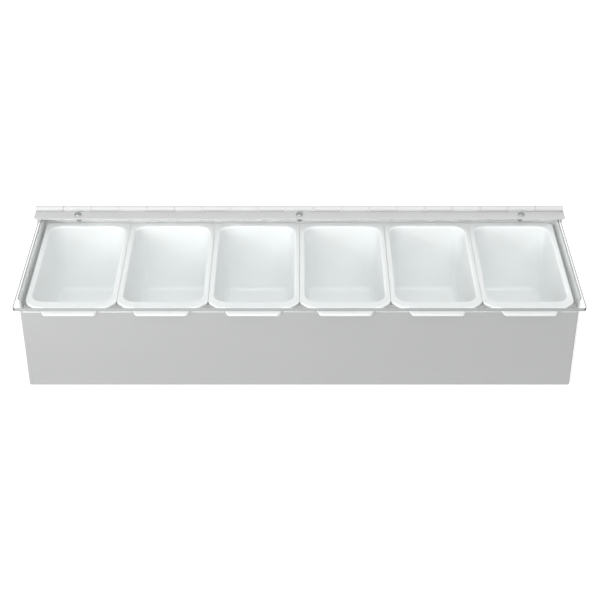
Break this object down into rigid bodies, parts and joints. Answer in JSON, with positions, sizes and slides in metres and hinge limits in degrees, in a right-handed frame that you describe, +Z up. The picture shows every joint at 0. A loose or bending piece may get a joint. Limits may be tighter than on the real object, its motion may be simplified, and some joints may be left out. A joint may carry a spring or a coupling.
{
  "type": "bar garnish tray",
  "caption": "Folded steel box with lift-out translucent white cups in a row, each with a pull tab, under a flat clear lid on a continuous rear hinge.",
  "frame": {"origin": "on the counter, under the middle of the whole object, lid and hinge included", "axes": "+X along the width, +Y to the hinge at the rear, +Z up"},
  "size_m": [0.492, 0.1646, 0.0982],
  "materials": {
    "box_steel": "satin brushed stainless sheet, grain along the width",
    "hinge_steel": "rolled stainless strip, fine grain along the hinge",
    "rivet_steel": "smooth bright stainless",
    "insert_plastic": "translucent white moulded plastic, soft gloss",
    "clear_lid": "clear acrylic sheet with polished edges"
  },
  "bodies": {
    "box": {"box_shell": "box_steel", "rear_support_rail": "box_steel", "hinge_box_leaf": "hinge_steel", "hinge_pin": "hinge_steel", "box_rivet_left": "rivet_steel", "box_rivet_centre": "rivet_steel", "box_rivet_right": "rivet_steel"},
    "lid": {"lid_panel": "clear_lid", "hinge_lid_leaf": "hinge_steel", "lid_rivet_left": "rivet_steel", "lid_rivet_centre": "rivet_steel", "lid_rivet_right": "rivet_steel", "washer_left": "rivet_steel", "washer_centre": "rivet_steel", "washer_right": "rivet_steel"},
    "insert_1": {"insert_1": "insert_plastic"},
    "insert_2": {"insert_2": "insert_plastic"},
    "insert_3": {"insert_3": "insert_plastic"},
    "insert_4": {"insert_4": "insert_plastic"},
    "insert_5": {"insert_5": "insert_plastic"},
    "insert_6": {"insert_6": "insert_plastic"}
  },
  "joints": [
    {"name": "lid_hinge", "type": "hinge", "parent": "box", "child": "lid", "pos_m": [0, 0.0798, 0.09576], "axis": [-1, 0, 0], "range_deg": [0, 215]},
    {"name": "insert_1_lift", "type": "slide", "parent": "box", "child": "insert_1", "axis": [0, 0, 1], "range_m": [0, 0.0065]},
    {"name": "insert_2_lift", "type": "slide", "parent": "box", "child": "insert_2", "axis": [0, 0, 1], "range_m": [0, 0.0065]},
    {"name": "insert_3_lift", "type": "slide", "parent": "box", "child": "insert_3", "axis": [0, 0, 1], "range_m": [0, 0.0065]},
    {"name": "insert_4_lift", "type": "slide", "parent": "box", "child": "insert_4", "axis": [0, 0, 1], "range_m": [0, 0.0065]},
    {"name": "insert_5_lift", "type": "slide", "parent": "box", "child": "insert_5", "axis": [0, 0, 1], "range_m": [0, 0.0065]},
    {"name": "insert_6_lift", "type": "slide", "parent": "box", "child": "insert_6", "axis": [0, 0, 1], "range_m": [0, 0.0065]}
  ]
}
